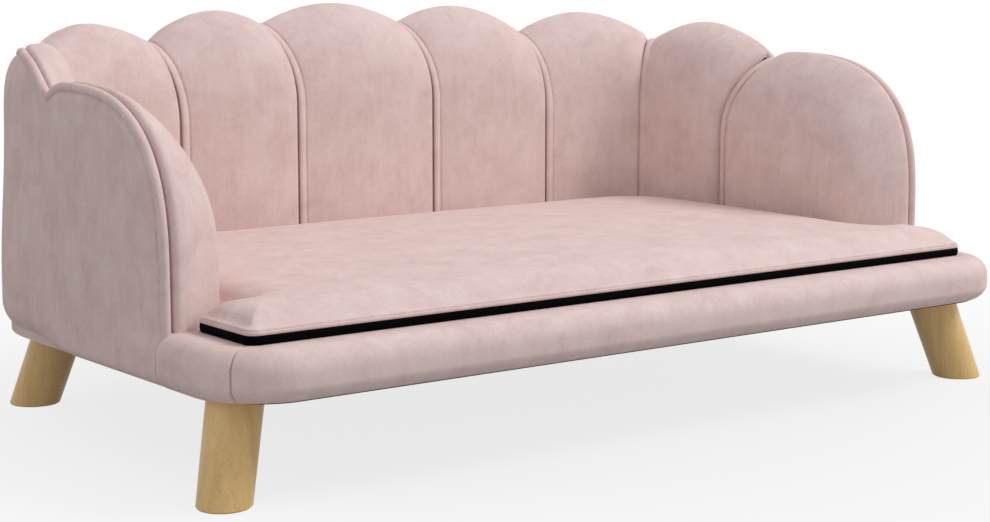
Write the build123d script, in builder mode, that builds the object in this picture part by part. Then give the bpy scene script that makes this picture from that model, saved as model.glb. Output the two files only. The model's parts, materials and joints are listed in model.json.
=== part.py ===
import os
from math import acos, cos, degrees, pi, radians, sin, sqrt

from build123d import *

os.makedirs("parts", exist_ok=True)

# Overall size, of the rounded front of the base. The frame's origin is on the floor under the
# middle of the footprint, +X to the right in a front view and +Y to the back.
width = 968
depth = 606
nose_stand = 7
back_corner_radius = 168
front_corner_radius = 70

# Heights, from the floor up.
leg_height = 92
dust_cover_thickness = 1
dust_cover_inset = 16
base_thickness = 45.5
skin_thickness = 1.5
rail_height = 28
deck_thickness = 10

# Base: soft edges and the timber frame inside.
bottom_edge_radius = 16
nose_edge_radius = 20
side_padding = 9.2
front_padding = 28
frame_corner_radius = 42
rail_thickness = 18
hem_width = 24
cross_rail_setback = 138
front_block_size = 70
rear_block_size = 84

# Wall: layers by their distance from its outer face, which runs down to the base's underside.
cover_thickness = 4
board_thickness = 5.5
post_depth = 22
inner_board_thickness = 4
rib_thickness = 12
post_width = 24
post_length = 89.5
valley_inset = 69
crown_height = 6
channel_trim = 2
crown_width = 14
roll_height = 85
piping_radius = 4.5
piping_sides = 8
knuckle_radius = 3.6
knuckle_width = 5.4
panel_drop = 5.8
piping_gap = 0.3
welt_radius = 4.2
welt_sides = 8
welt_stands = (4.9, 5.2, 5.3, 5.7)
welt_start_gap = 0.3
welt_end = 1.6
arm_front_setback = 140
arm_roll_depth = 40
arm_frame_setback = 45

# Scalloped edge: where each valley lies, from the middle of the back to the arm, as a share of
# the back's straight half or of an arm's straight length, on the outer side and on the inner.
first_valley_share = 0.301
second_valley_shares = (0.835, 0.809)
corner_valley_angle = 49.5
arm_valley_shares = (0.2617, 0.1812)
arm_peak_share = 0.3926
back_valley_heights = (380.5, 364.5, 352)
lobe_heights = (403, 396.5, 386, 372.5)
arm_peak_height = 343
arm_valley_drop = 9
arm_spring_height = 182
arch_exponent = 2.8

# Cushion.
cushion_front_gap = 43
cushion_side_gap = 29
cushion_wall_gap = 0.4
cushion_lift_gap = 0.3
cushion_corner_radius = 30
cushion_notch_radius = 12
wing_gap = 4
band_height = 8
band_thickness = 1.5
cushion_sheet = 1
cushion_edge_height = 14
cushion_crown = 14
cushion_side_crown = 6
cushion_edge_taper = 32
zip_end_margin = 9
zip_pocket_depth = 6
zip_pocket_floor = 1.2
zip_pocket_height = 5.6
zip_tape_thickness = 1.2
slider_length = 9
pull_length = 13
pull_thickness = 1.2
pull_height = 3.4
slider_thickness = 3.6
slider_height = 4.6
slider_gap = 0.3

# Legs: each stands out from the corner and leans in on its way up.
leg_foot_radius = 24.1
leg_top_radius = 25.6
foot_bevel = 1.5
front_foot_setback = (20, 59)
rear_foot_setback = (68.2, 65)
splay = (0.28, 0.235)
bolt_radius = 4
bolt_in_leg = 26
bolt_in_block = 24
insert_radius = 6
insert_length = 22
insert_rise = 4
fit_gap = 0.1

overrun = 20

half_width = width / 2
half_depth = depth / 2
body_half = half_width - nose_stand
straight_back = body_half - back_corner_radius
corner_y = half_depth - back_corner_radius
corner_length = back_corner_radius * pi / 2
arm_start = straight_back + corner_length

base_bottom = leg_height + dust_cover_thickness
base_top = base_bottom + base_thickness
frame_bottom = base_bottom + skin_thickness
deck_bottom = frame_bottom + rail_height
deck_top = deck_bottom + deck_thickness
seat_foam_top = base_top - skin_thickness

board_inset = cover_thickness
post_inset = board_inset + board_thickness
inner_board_inset = post_inset + post_depth
trim_inset = post_inset - channel_trim
channel_back = inner_board_inset + inner_board_thickness
crown_inset = valley_inset + crown_height
valley_share = (valley_inset - trim_inset) / (crown_inset - trim_inset)
piping_inset = piping_radius
post_bottom = deck_top + rib_thickness
cap_bottom = post_bottom + post_length
cap_top = cap_bottom + rib_thickness
wall_top = max(lobe_heights) + overrun
arm_front = -half_depth + arm_front_setback
arm_frame_front = arm_front + arm_frame_setback

frame_front = -half_depth + front_padding
frame_back = half_depth - side_padding
frame_side = body_half - side_padding

arm_length = corner_y - arm_front
arm_peak_place = corner_y - arm_peak_share * arm_length
arm_valley_outer, arm_valley_inner = (share * arm_length for share in arm_valley_shares)
valley_heights = (*back_valley_heights, arm_peak_height - arm_valley_drop)
first = (first_valley_share * straight_back,) * 2
second = tuple(share * straight_back for share in second_valley_shares)
third = (straight_back + back_corner_radius * radians(corner_valley_angle),) * 2
fourth = (arm_start + arm_valley_outer, arm_start + arm_valley_inner)
valleys = (first, second, third, fourth)


def edge_point(run, inset):
    """Plan point at an inset, by distance round the outer face from the middle of the back."""
    side = 1 if run >= 0 else -1
    run = abs(run)
    if run < straight_back:
        x, y = run, half_depth - inset
    elif run < arm_start:
        turn = (run - straight_back) / back_corner_radius
        x = straight_back + (back_corner_radius - inset) * sin(turn)
        y = corner_y + (back_corner_radius - inset) * cos(turn)
    else:
        x, y = body_half - inset, corner_y - (run - arm_start)
    return Vector(side * x, y)


def between(start, end, share):
    return start + (end - start) * share


def bulge(share):
    """Swell of a lobe from valley to valley, nothing at both ends and 1 in the middle."""
    return 4 * share * (1 - share)


lobe_shares = (0, 0.15, 0.32, 0.5, 0.68, 0.85, 1)


def lobe_stations(number):
    """Outer run, inner run, edge height and swell at each station of a lobe right of the middle."""
    if number == 0:
        ends = (tuple(-run for run in first), first)
        heights = (valley_heights[0], valley_heights[0])
    else:
        ends = valleys[number - 1 : number + 1]
        heights = valley_heights[number - 1 : number + 1]
    rise = lobe_heights[number] - sum(heights) / 2
    stations = []
    for share in lobe_shares:
        outer = between(ends[0][0], ends[1][0], share)
        inner = between(ends[0][1], ends[1][1], share)
        height = between(heights[0], heights[1], share) + rise * bulge(share)
        stations.append((outer, inner, height, bulge(share)))
    return stations


def section_plane(outer, inner):
    """Upright plane across the wall, with its own X from the outer side to the inner."""
    start = edge_point(outer, trim_inset)
    across = edge_point(inner, valley_inset) - start
    return Plane(origin=start, x_dir=across, z_dir=across.cross(Vector(0, 0, 1)))


def section_reach(outer, inner, inset):
    return (edge_point(inner, inset) - edge_point(outer, trim_inset)).length


def arch_points(drop, draw_in, start=0, steps=6):
    """Front outline of an arm, in the side view, from its peak down to where it stands upright."""
    rise = arm_peak_height - arm_spring_height - drop
    reach = arm_peak_place - arm_front - draw_in
    points = []
    for step in range(start, steps + 1):
        turn = pi / 2 * step / steps
        y = arm_peak_place - reach * sin(turn) ** (2 / arch_exponent)
        z = arm_spring_height + rise * max(cos(turn), 0) ** (2 / arch_exponent)
        points.append((y, z))
    return points


def inner_plan(height, side_gap, front_gap, corner_radius):
    """An outline inside the base, at one distance from its sides and back and one from its front."""
    front, back = front_gap - half_depth, half_depth - side_gap
    with BuildSketch(Plane.XY.offset(height)) as outline:
        with Locations((0, (front + back) / 2)):
            Rectangle(2 * (body_half - side_gap), back - front)
        fillet(outline.vertices().group_by(Axis.Y)[-1], back_corner_radius - side_gap)
        fillet(outline.vertices().group_by(Axis.Y)[0], corner_radius)
    return outline.sketch


def frame_plan(height):
    """The outline of the timber frame and of the deck on it."""
    return inner_plan(height, side_padding, front_padding, frame_corner_radius)


def seat_plan(height, inset):
    """The outline of the base behind the front of the arms, at an inset from its sides and back."""
    back = half_depth - inset
    with BuildSketch(Plane.XY.offset(height)) as outline:
        with Locations((0, (arm_front + back) / 2)):
            Rectangle(2 * (body_half - inset), back - arm_front)
        fillet(outline.vertices().group_by(Axis.Y)[-1], back_corner_radius - inset)
    return outline.sketch


def nose_block(inset, soften):
    """The length of the base in front of the arms, drawn in by an inset, with soft long edges."""
    low, high = base_bottom + inset, base_top - inset
    front = inset - half_depth
    with BuildPart() as block:
        with BuildSketch(Plane.XY.offset(low)) as outline:
            with Locations((0, (front + arm_front) / 2)):
                Rectangle(width - 2 * inset, arm_front - front)
            fillet(outline.vertices().group_by(Axis.Y)[0], front_corner_radius - inset)
        extrude(amount=high - low)
        for end, radius in ((-1, nose_edge_radius), (0, bottom_edge_radius)):
            rim = block.edges().filter_by_position(Axis.Y, -half_depth, arm_front, inclusive=(False, False))
            soften(rim.filter_by(Axis.Z, reverse=True).group_by(Axis.Z)[end], radius - inset)
    return block.part


def wall_band(height, outer, inner, front):
    """The wall's U-shaped plan between two insets."""
    with BuildSketch(Plane.XY.offset(height)) as band:
        with BuildLine():
            for inset in (outer, inner):
                Line((body_half - inset, front), (body_half - inset, corner_y))
                CenterArc((straight_back, corner_y), back_corner_radius - inset, 0, 90)
                Line((straight_back, half_depth - inset), (-straight_back, half_depth - inset))
                CenterArc((-straight_back, corner_y), back_corner_radius - inset, 90, 90)
                Line((inset - body_half, corner_y), (inset - body_half, front))
            Line((body_half - outer, front), (body_half - inner, front))
            Line((outer - body_half, front), (inner - body_half, front))
        make_face()
    return band.sketch


def scallop_points(number, inset, lowered):
    """Places along a lobe's edge, for lobes numbered from the middle to the right and left."""
    points = []
    for outer, inner, height, swell in lobe_stations(abs(number)):
        place = edge_point(outer, inset)
        points.append(Vector(place.X, place.Y, height - lowered))
    if number < 0:
        points = [Vector(-p.X, p.Y, p.Z) for p in reversed(points)]
    return points


def arm_edge(lowered):
    """Side view of an arm's edge: from its valley up to the peak, then down the front."""
    arch = arch_points(lowered, lowered)
    valley = (corner_y - arm_valley_outer, valley_heights[3] - lowered)
    TangentArc(arch[0], valley, tangent=(1, 0))
    Spline(*arch, tangents=((-1, 0), (0, -1)))
    return arch[-1]


def back_trim(lowered):
    """Everything above the scallops of the back, as a back view."""
    with BuildSketch(Plane.XZ) as above:
        with BuildLine():
            for number in range(-2, 3):
                Spline(*[(p.X, p.Z) for p in scallop_points(number, piping_inset, lowered)])
            end = scallop_points(2, piping_inset, lowered)[-1]
            Polyline((end.X, end.Z), (end.X, wall_top), (-end.X, wall_top), (-end.X, end.Z))
        make_face()
    return above.sketch


def side_trim(lowered):
    """Everything above and in front of the scallops of a side, as a side view."""
    start = scallop_points(3, piping_inset, lowered)[0]
    with BuildSketch(Plane.YZ) as above:
        with BuildLine():
            Spline(*[(p.Y, p.Z) for p in scallop_points(3, piping_inset, lowered)])
            foot = arm_edge(lowered)
            Polyline(
                foot,
                (arm_front - overrun, foot[1]),
                (arm_front - overrun, wall_top),
                (start.Y + overrun, wall_top),
                (start.Y + overrun, start.Z),
                (start.Y, start.Z),
            )
        make_face()
    return above.sketch


def trim_to_scallops(lowered):
    """Cut a wall panel down to the scalloped edge, from the back and from both sides."""
    side = scallop_points(3, piping_inset, lowered)[0].X
    extrude(back_trim(lowered), amount=depth, both=True, mode=Mode.SUBTRACT)
    for offset in (side, -side):
        outline = side_trim(lowered).moved(Location((offset, 0, 0)))
        extrude(outline, amount=width * (1 if offset > 0 else -1), mode=Mode.SUBTRACT)


def lobe_section(outer, inner, edge, swell):
    """Upright section of a padded lobe: flat inside face, rolled over to the outer edge."""
    reach = section_reach(outer, inner, valley_inset) + crown_height * swell
    shoulder = (reach, edge - roll_height)
    with BuildSketch(section_plane(outer, inner)) as section:
        with BuildLine():
            Line((0, base_top), (reach, base_top))
            Line((reach, base_top), shoulder)
            TangentArc(shoulder, (0, edge), tangent=(0, 1))
            Line((0, edge), (0, base_top))
        make_face()
    return section.sketch


def roll_share(place, reach):
    """How far the roll over the top has dropped, as a share of its height, at a place across."""
    radius = (reach**2 + roll_height**2) / (2 * reach)
    from_centre = min(place, 1) * reach + radius - reach
    return 1 - sqrt(max(radius**2 - from_centre**2, 0)) / roll_height


def arm_section(across):
    """Side view of an arm's front lobe at one place across the wall, from 0 outside to 1 inside."""
    inset = between(trim_inset, crown_inset, across)
    skew = (inset - trim_inset) / (valley_inset - trim_inset)
    valley_y = corner_y - between(arm_valley_outer, arm_valley_inner, skew)
    valley_y -= crown_width * max(across - valley_share, 0) / (1 - valley_share)
    valley_drop = roll_height * roll_share(skew, section_reach(*fourth, valley_inset))
    valley = (valley_y, valley_heights[3] - valley_drop)
    sunk = roll_share(across, crown_inset - trim_inset)
    arch = arch_points(roll_height * sunk, arm_roll_depth * sunk)
    with BuildSketch(Plane.YZ.offset(body_half - inset)) as section:
        with BuildLine():
            Line((valley_y, base_top), valley)
            TangentArc(arch[0], valley, tangent=(1, 0))
            Spline(*arch, tangents=((-1, 0), (0, -1)))
            Line(arch[-1], (arch[-1][0], base_top))
            Line((arch[-1][0], base_top), (valley_y, base_top))
        make_face()
    return section.sketch


def clear_wall_frame():
    """Trim a lobe to the boards behind it and leave room for the timber wall it is glued over."""
    boards = wall_band(base_top - overrun, 0, post_inset, arm_front - overrun)
    extrude(boards, amount=wall_top - base_top + overrun, mode=Mode.SUBTRACT)
    frame = wall_band(deck_top, post_inset, channel_back, arm_frame_front)
    extrude(frame, amount=cap_top - deck_top, mode=Mode.SUBTRACT)


def finish(part, name):
    part.label = name
    export_step(part, f"parts/{name}.step")


# Base: a rounded nose in front of the arms, and behind it the part that the wall stands on.
hem_opening = inner_plan(
    base_bottom, hem_width - nose_stand, hem_width, front_corner_radius - hem_width
)
wall_foot = wall_band(deck_top, post_inset, channel_back, arm_frame_front)

nose_filling = nose_block(skin_thickness, chamfer)
with BuildPart() as front_cover:
    add(nose_block(0, fillet))
    add(nose_filling, mode=Mode.SUBTRACT)
    extrude(hem_opening, amount=skin_thickness, mode=Mode.SUBTRACT)
finish(front_cover.part, "front_cover")

with BuildPart() as seat_cover:
    extrude(seat_plan(seat_foam_top, cover_thickness), amount=skin_thickness)
    extrude(wall_foot, amount=base_top - deck_top, mode=Mode.SUBTRACT)
finish(seat_cover.part, "seat_cover")

with BuildPart() as front_foam:
    add(nose_filling)
    extrude(frame_plan(frame_bottom), amount=deck_top - frame_bottom, mode=Mode.SUBTRACT)
finish(front_foam.part, "front_foam")

with BuildPart() as seat_foam:
    extrude(seat_plan(frame_bottom, cover_thickness), amount=seat_foam_top - frame_bottom)
    extrude(frame_plan(frame_bottom), amount=deck_top - frame_bottom, mode=Mode.SUBTRACT)
    extrude(wall_foot, amount=base_top - deck_top, mode=Mode.SUBTRACT)
finish(seat_foam.part, "seat_foam")

# Timber frame under the deck.
with BuildPart() as deck_board:
    extrude(frame_plan(deck_bottom), amount=deck_thickness)
finish(deck_board.part, "deck_board")


def rail(name, left, right, front, back):
    """A straight rail between four sides in plan."""
    with BuildPart() as piece:
        with BuildSketch(Plane.XY.offset(frame_bottom)):
            with Locations(((left + right) / 2, (front + back) / 2)):
                Rectangle(right - left, back - front)
        extrude(amount=rail_height)
    finish(piece.part, name)


cross_rail_place = body_half - cross_rail_setback
front_rail_end = frame_side - frame_corner_radius
rail_front = frame_front + rail_thickness
block_back = rail_front + front_block_size
rib_radius = back_corner_radius - side_padding
rib_inner_radius = rib_radius - rail_thickness
half_rail = rail_thickness / 2
rail("front_rail", -front_rail_end, front_rail_end, frame_front, rail_front)
rail("back_rail", -straight_back, straight_back, frame_back - rail_thickness, frame_back)
for side, name in ((-1, "left"), (1, "right")):
    outside = side * frame_side
    inside = outside - side * rail_thickness
    rail(f"side_rail_{name}", min(outside, inside), max(outside, inside), block_back, corner_y)
    middle = side * cross_rail_place
    back_end = frame_back - rail_thickness
    if abs(middle) + half_rail > straight_back:
        back_end = corner_y + sqrt(rib_inner_radius**2 - (abs(middle) + half_rail - straight_back) ** 2)
    rail(f"cross_rail_{name}", middle - half_rail, middle + half_rail, rail_front, back_end)
    with BuildPart() as corner_rib:
        with BuildSketch(Plane.XY.offset(frame_bottom)):
            with BuildLine():
                start = 0 if side > 0 else 90
                centre = (side * straight_back, corner_y)
                outer_arc = CenterArc(centre, rib_radius, start, 90)
                inner_arc = CenterArc(centre, rib_inner_radius, start, 90)
                Line(outer_arc @ 0, inner_arc @ 0)
                Line(outer_arc @ 1, inner_arc @ 1)
            make_face()
        extrude(amount=rail_height)
    finish(corner_rib.part, f"corner_rib_{name}")

# Legs with their blocks, each on its own leaning axis.
legs = []
for side, side_name in ((-1, "left"), (1, "right")):
    for end, end_name, setback in ((-1, "front", front_foot_setback), (1, "rear", rear_foot_setback)):
        foot_x, foot_y = side * (half_width - setback[0]), end * (half_depth - setback[1])
        lean = Vector(-side * splay[0], -end * splay[1], 1)
        legs.append((f"{end_name}_{side_name}", Vector(foot_x, foot_y), lean))


def leg_plane(foot, lean, height):
    """Plane across a leg's axis where the axis reaches a height."""
    return Plane(origin=foot + lean * height, z_dir=lean)


insert_start = frame_bottom + insert_rise
front_block_place = (frame_side - front_block_size / 2, rail_front + front_block_size / 2)
rear_block_place = (
    cross_rail_place + half_rail + rear_block_size / 2,
    half_depth - rear_foot_setback[1] - splay[1] * leg_height,
)
for name, foot, lean in legs:
    stretch = lean.length
    with BuildPart() as leg:
        with Locations(leg_plane(foot, lean, -overrun)):
            Cone(
                leg_foot_radius,
                leg_top_radius,
                (leg_height + 2 * overrun) * stretch,
                align=(Align.CENTER, Align.CENTER, Align.MIN),
            )
        split(bisect_by=Plane.XY, keep=Keep.TOP)
        split(bisect_by=Plane.XY.offset(leg_height), keep=Keep.BOTTOM)
        chamfer(leg.faces().sort_by(Axis.Z)[0].edges(), foot_bevel)
        with BuildSketch(leg_plane(foot, lean, leg_height - bolt_in_leg / stretch)):
            Circle(bolt_radius)
        extrude(amount=bolt_in_leg + overrun, mode=Mode.SUBTRACT)
    finish(leg.part, f"leg_{name}")

    side = 1 if foot.X > 0 else -1
    with BuildPart() as block:
        with BuildSketch(Plane.XY.offset(frame_bottom)):
            if foot.Y < 0:
                with Locations((side * front_block_place[0], front_block_place[1])):
                    Rectangle(front_block_size, front_block_size)
            else:
                with Locations((side * rear_block_place[0], rear_block_place[1])):
                    Rectangle(rear_block_size, rear_block_size)
                with Locations((side * straight_back, corner_y)):
                    Circle(rib_inner_radius, mode=Mode.INTERSECT)
        extrude(amount=rail_height)
        extrude(frame_plan(frame_bottom), amount=rail_height, mode=Mode.INTERSECT)
        with BuildSketch(leg_plane(foot, lean, insert_start - overrun)):
            Circle(insert_radius + fit_gap)
        extrude(amount=overrun * stretch + insert_length, mode=Mode.SUBTRACT)
    finish(block.part, f"leg_block_{name}")

with BuildPart() as threaded_inserts:
    for name, foot, lean in legs:
        with BuildSketch(leg_plane(foot, lean, insert_start)):
            Circle(insert_radius)
            Circle(bolt_radius, mode=Mode.SUBTRACT)
        extrude(amount=insert_length)
finish(threaded_inserts.part, "threaded_inserts")

with BuildPart() as hanger_bolts:
    for name, foot, lean in legs:
        with BuildSketch(leg_plane(foot, lean, leg_height - bolt_in_leg / lean.length)):
            Circle(bolt_radius)
        extrude(amount=bolt_in_leg + bolt_in_block)
finish(hanger_bolts.part, "hanger_bolts")

with BuildPart() as dust_cover:
    corner_radius = front_corner_radius - dust_cover_inset
    outline = inner_plan(leg_height, dust_cover_inset - nose_stand, dust_cover_inset, corner_radius)
    extrude(outline, amount=dust_cover_thickness)
    for name, foot, lean in legs:
        with BuildSketch(leg_plane(foot, lean, leg_height - overrun)):
            Circle(insert_radius)
        extrude(amount=2 * overrun, mode=Mode.SUBTRACT)
finish(dust_cover.part, "dust_cover")

# Wall: two U-shaped ribs with posts between, boards bent round the outside.
with BuildPart() as sole_rib:
    extrude(wall_band(deck_top, post_inset, channel_back, arm_frame_front), amount=rib_thickness)
finish(sole_rib.part, "sole_rib")

with BuildPart() as cap_rib:
    extrude(wall_band(cap_bottom, post_inset, channel_back, arm_frame_front), amount=rib_thickness)
finish(cap_rib.part, "cap_rib")

post_runs = [end[0] for end in valleys]
post_runs.append(arm_start + corner_y - arm_frame_front - post_width / 2)
with BuildPart() as wall_posts:
    for run in [-r for r in post_runs] + post_runs:
        origin = edge_point(run, post_inset + post_depth / 2) + Vector(0, 0, post_bottom)
        across = edge_point(run, inner_board_inset) - edge_point(run, post_inset)
        with BuildSketch(Plane(origin=origin, x_dir=across, z_dir=(0, 0, 1))):
            Rectangle(2 * post_depth, post_width)
        extrude(amount=post_length)
    room = wall_band(post_bottom, post_inset, inner_board_inset, arm_frame_front)
    extrude(room, amount=post_length, mode=Mode.INTERSECT)
finish(wall_posts.part, "wall_posts")

with BuildPart() as inner_board:
    extrude(wall_band(post_bottom, inner_board_inset, channel_back, arm_frame_front), amount=post_length)
finish(inner_board.part, "inner_board")

with BuildPart() as outer_board:
    extrude(wall_band(base_top, board_inset, post_inset, arm_front + panel_drop), amount=wall_top - base_top)
    trim_to_scallops(panel_drop)

with BuildPart() as back_board:
    add(outer_board.part)
    with Locations((0, half_depth, wall_top / 2)):
        Box(2 * straight_back, depth / 2, wall_top, mode=Mode.INTERSECT)
finish(back_board.part, "back_board")

for side, name in ((-1, "left"), (1, "right")):
    with BuildPart() as corner_board:
        add(outer_board.part)
        with Locations((side * (straight_back + width / 2), corner_y + depth / 2, wall_top / 2)):
            Box(width, depth, wall_top, mode=Mode.INTERSECT)
    finish(corner_board.part, f"corner_board_{name}")
    with BuildPart() as arm_board:
        add(outer_board.part)
        with Locations((side * (straight_back + width / 2), corner_y - depth / 2, wall_top / 2)):
            Box(width, depth, wall_top, mode=Mode.INTERSECT)
    finish(arm_board.part, f"arm_board_{name}")

with BuildPart() as outer_cover:
    extrude(wall_band(base_top, 0, board_inset, arm_front + panel_drop), amount=wall_top - base_top)
    trim_to_scallops(panel_drop)
    extrude(wall_band(base_bottom, 0, board_inset, arm_front), amount=base_thickness)
    extrude(seat_plan(base_bottom, 0), amount=skin_thickness)
    extrude(hem_opening, amount=skin_thickness, mode=Mode.SUBTRACT)
finish(outer_cover.part, "outer_cover")

# Padded lobes, numbered from the left arm to the right arm.
middle_lobe = 5
for number in range(4):
    with BuildPart() as lobe:
        loft([lobe_section(*station) for station in lobe_stations(number)], ruled=True)
        clear_wall_frame()
    finish(lobe.part, f"channel_{middle_lobe + number}")
    if number > 0:
        finish(mirror(lobe.part, about=Plane.YZ), f"channel_{middle_lobe - number}")

arm_shares = (0, 0.3, 0.5, 0.65, 0.78, valley_share, 0.97, 1)
with BuildPart() as arm_lobe:
    loft([arm_section(share) for share in arm_shares], ruled=True)
    clear_wall_frame()
finish(arm_lobe.part, "channel_9")
finish(mirror(arm_lobe.part, about=Plane.YZ), "channel_1")


# Round welt along the outer edge, in one run from arm to arm.
def round_run(path, radius, sides):
    """Round cord along a path, with few sides because the same cord repeats all over the wall."""
    with BuildSketch(Plane(origin=path @ 0, z_dir=path % 0)) as section:
        RegularPolygon(radius, sides)
    sweep(section.sketch, path=path)


with BuildPart() as outer_piping:
    for number in range(-3, 4):
        points = scallop_points(number, piping_inset, 0)
        with BuildLine() as run:
            Spline(*points)
        round_run(run.line, piping_radius, piping_sides)
    for side in (-1, 1):
        arm_x = side * (body_half - piping_inset)
        arch = [(arm_x, y, z) for y, z in arch_points(0, 0)]
        valley = (arm_x, corner_y - arm_valley_outer, valley_heights[3])
        with BuildLine() as run:
            TangentArc(arch[0], valley, tangent=(0, 1, 0))
        round_run(run.line, piping_radius, piping_sides)
        with BuildLine() as run:
            foot = (arm_x, arm_front, base_top + piping_gap)
            Spline(*arch, foot, tangents=((0, -1, 0), (0, 0, -1)))
        round_run(run.line, piping_radius, piping_sides)
    for run in [-end[0] for end in valleys] + [end[0] for end in valleys]:
        height = valley_heights[[abs(end[0]) for end in valleys].index(abs(run))]
        knuckle = edge_point(run, piping_inset) + Vector(0, 0, height)
        across = edge_point(run, 0) - edge_point(run, piping_inset)
        with Locations(Plane(origin=knuckle, z_dir=across)):
            Cylinder(knuckle_radius, knuckle_width)
finish(outer_piping.part, "outer_piping")

# Round welts between the lobes, up the inside and over the roll to the outer edge.
for number, (outer, inner) in enumerate(valleys):
    reach = section_reach(outer, inner, valley_inset)
    shoulder = valley_heights[number] - roll_height
    roll_radius = (reach**2 + roll_height**2) / (2 * reach)
    stand = welt_stands[number]
    foot = reach + stand
    with BuildPart() as welt:
        with BuildLine(section_plane(outer, inner)) as run:
            Line((foot, base_top + welt_start_gap), (foot, shoulder))
            end = (channel_trim + welt_end - reach + roll_radius) / (roll_radius + stand)
            JernArc((foot, shoulder), (0, 1), roll_radius + stand, degrees(acos(end)))
        round_run(run.line, welt_radius, welt_sides)
    finish(welt.part, f"welt_{5 + number}")
    finish(mirror(welt.part, about=Plane.YZ), f"welt_{4 - number}")

# Cushion: T-shaped, with wings in front of the arms.
cushion_inset = valley_inset + max(welt_stands) + welt_radius + cushion_wall_gap
cushion_front = -half_depth + cushion_front_gap
cushion_back = half_depth - cushion_inset
cushion_side = body_half - cushion_inset
wing_side = half_width - cushion_side_gap
wing_back = arm_front - wing_gap
cushion_bottom = base_top + cushion_lift_gap
band_top = cushion_bottom + band_height
cushion_edge = band_top + cushion_edge_height


def cushion_plan(height, inset):
    """The cushion's outline at an inset."""
    side, wing = cushion_side - inset, wing_side - inset
    front, notch, back = cushion_front + inset, wing_back - inset, cushion_back - inset
    with BuildSketch(Plane.XY.offset(height)) as outline:
        with Locations((0, (front + back) / 2)):
            Rectangle(2 * side, back - front)
        with Locations((0, (front + notch) / 2)):
            Rectangle(2 * wing, notch - front)
        corners = outline.vertices()
        notches = corners.filter_by_position(Axis.X, -side - fit_gap, side + fit_gap)
        fillet(notches.group_by(Axis.Y)[-1], back_corner_radius - cushion_inset - inset)
        fillet(notches.group_by(Axis.Y)[0], cushion_notch_radius + inset)
        fillet(corners.group_by(Axis.X)[0], cushion_corner_radius - inset)
        fillet(corners.group_by(Axis.X)[-1], cushion_corner_radius - inset)
    return outline.sketch


def crown_section(place, crown):
    """Front-to-back section of the space under the cushion's crowned top."""
    middle = ((cushion_front + cushion_back) / 2, cushion_edge + crown)
    with BuildSketch(Plane.YZ.offset(place)) as section:
        with BuildLine():
            Polyline(
                (cushion_front, cushion_edge),
                (cushion_front, cushion_bottom),
                (cushion_back, cushion_bottom),
                (cushion_back, cushion_edge),
            )
            ThreePointArc((cushion_back, cushion_edge), middle, (cushion_front, cushion_edge))
        make_face()
    return section.sketch


# Flat foam slab, drawn in above the band like the cover over it.
slab_bottom = cushion_bottom + cushion_sheet
slab_top = cushion_edge - band_thickness
with BuildPart() as cushion_slab:
    extrude(cushion_plan(slab_bottom, band_thickness), amount=band_top - slab_bottom)
    upper = cushion_plan(band_top, band_thickness)
    extrude(upper, amount=slab_top - band_top, taper=cushion_edge_taper)

zip_floor = cushion_bottom + zip_pocket_floor
zip_length = 2 * (straight_back - zip_end_margin)


def zip_pocket():
    """Room for the zip in the back of the cushion's band."""
    with Locations((0, cushion_back, zip_floor)):
        Box(
            zip_length,
            2 * zip_pocket_depth,
            zip_pocket_height,
            align=(Align.CENTER, Align.CENTER, Align.MIN),
            mode=Mode.SUBTRACT,
        )


with BuildPart() as cushion_top:
    crowns = ((-wing_side, cushion_side_crown), (0, cushion_crown), (wing_side, cushion_side_crown))
    loft([crown_section(place, crown) for place, crown in crowns])
    height = cushion_edge + cushion_crown - band_top
    extrude(cushion_plan(band_top, 0), amount=height, taper=cushion_edge_taper, mode=Mode.INTERSECT)
    add(cushion_slab.part, mode=Mode.SUBTRACT)
finish(cushion_top.part, "cushion_top")

with BuildPart() as cushion_core:
    add(cushion_slab.part)
    zip_pocket()
finish(cushion_core.part, "cushion_core")

with BuildPart() as cushion_base:
    extrude(cushion_plan(cushion_bottom, 0), amount=band_height)
    inner = cushion_plan(cushion_bottom + cushion_sheet, band_thickness)
    extrude(inner, amount=band_height, mode=Mode.SUBTRACT)
    zip_pocket()
finish(cushion_base.part, "cushion_base")

zip_face = cushion_back - zip_pocket_depth
with BuildPart() as zip_tape:
    with Locations((0, zip_face, zip_floor)):
        Box(zip_length, zip_tape_thickness, zip_pocket_height, align=(Align.CENTER, Align.MIN, Align.MIN))
finish(zip_tape.part, "zip_tape")

slider_back = zip_face + zip_tape_thickness + slider_gap
slider_low = zip_floor + (zip_pocket_height - slider_height) / 2
pull_low = zip_floor + (zip_pocket_height - pull_height) / 2
with BuildPart() as zip_slider:
    with Locations((-zip_length / 2 + slider_gap, slider_back, slider_low)):
        Box(slider_length, slider_thickness, slider_height, align=(Align.MIN, Align.MIN, Align.MIN))
    chamfer(zip_slider.edges().filter_by(Axis.Z), slider_gap)
    with Locations((-zip_length / 2 + slider_gap + slider_length, slider_back + slider_gap, pull_low)):
        Box(pull_length, pull_thickness, pull_height, align=(Align.MIN, Align.MIN, Align.MIN))
finish(zip_slider.part, "zip_slider")
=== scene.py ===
import json
from math import acos, cos, exp, hypot, pi, radians, sin, sqrt

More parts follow.
